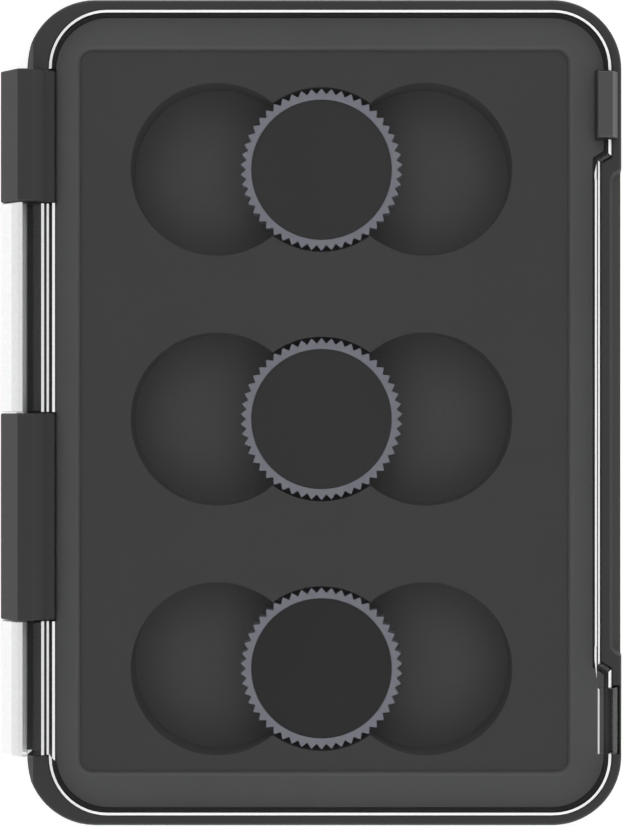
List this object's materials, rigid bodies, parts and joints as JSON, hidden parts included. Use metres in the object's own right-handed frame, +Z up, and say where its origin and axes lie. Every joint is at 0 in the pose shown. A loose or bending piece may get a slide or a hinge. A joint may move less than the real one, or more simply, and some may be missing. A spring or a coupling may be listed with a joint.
{
  "type": "optical filter case",
  "caption": "Flat hinged case with an opaque base and a clear lid, snap tabs, and a foam insert with finger scoops that holds knurled round glass cells.",
  "frame": {"origin": "middle of the bottom of the closed case's bounding box", "axes": "+X from the hinge to the front edge, +Y along the hinge, +Z up through the lid"},
  "size_m": [0.1174, 0.156, 0.0171],
  "materials": {
    "case_plastic": "satin moulded polycarbonate, dark grey",
    "clear_plastic": "polished clear polycarbonate with bright edges",
    "pin_nylon": "natural milky nylon rod",
    "seal_rubber": "matt black elastomer",
    "tray_plastic": "fine satin moulded plastic, dark grey",
    "foam": "closed-cell foam, matt dark grey",
    "cell_metal": "satin anodised, lavender grey",
    "cell_glass": "coated dark optical glass",
    "shim_plastic": "thin black nylon",
    "retainer_metal": "matt black anodised"
  },
  "bodies": {
    "base": {"base_shell": "case_plastic", "hinge_pin": "pin_nylon", "seal_ring": "seal_rubber", "insert_tray": "tray_plastic", "foam_floor": "foam", "foam_pad": "foam"},
    "lid": {"lid_shell": "clear_plastic"},
    "cell_upper": {"cell_ring_upper": "cell_metal", "cell_glass_upper": "cell_glass", "glass_shim_upper": "shim_plastic", "retaining_ring_upper": "retainer_metal"},
    "cell_middle": {"cell_ring_middle": "cell_metal", "cell_glass_middle": "cell_glass", "glass_shim_middle": "shim_plastic", "retaining_ring_middle": "retainer_metal"},
    "cell_lower": {"cell_ring_lower": "cell_metal", "cell_glass_lower": "cell_glass", "glass_shim_lower": "shim_plastic", "retaining_ring_lower": "retainer_metal"}
  },
  "joints": [
    {"name": "lid_hinge", "type": "hinge", "parent": "base", "child": "lid", "pos_m": [-0.05483, 0, 0.0134], "axis": [0, -1, 0], "range_deg": [0, 180]},
    {"name": "cell_upper_turn", "type": "hinge", "parent": "base", "child": "cell_upper", "pos_m": [0.00198, 0.04624, 0.0123], "axis": [0, 0, 1], "continuous": true},
    {"name": "cell_middle_turn", "type": "hinge", "parent": "base", "child": "cell_middle", "pos_m": [0.00198, -0.00121, 0.0123], "axis": [0, 0, 1], "continuous": true},
    {"name": "cell_lower_turn", "type": "hinge", "parent": "base", "child": "cell_lower", "pos_m": [0.00198, -0.04866, 0.0123], "axis": [0, 0, 1], "continuous": true}
  ]
}
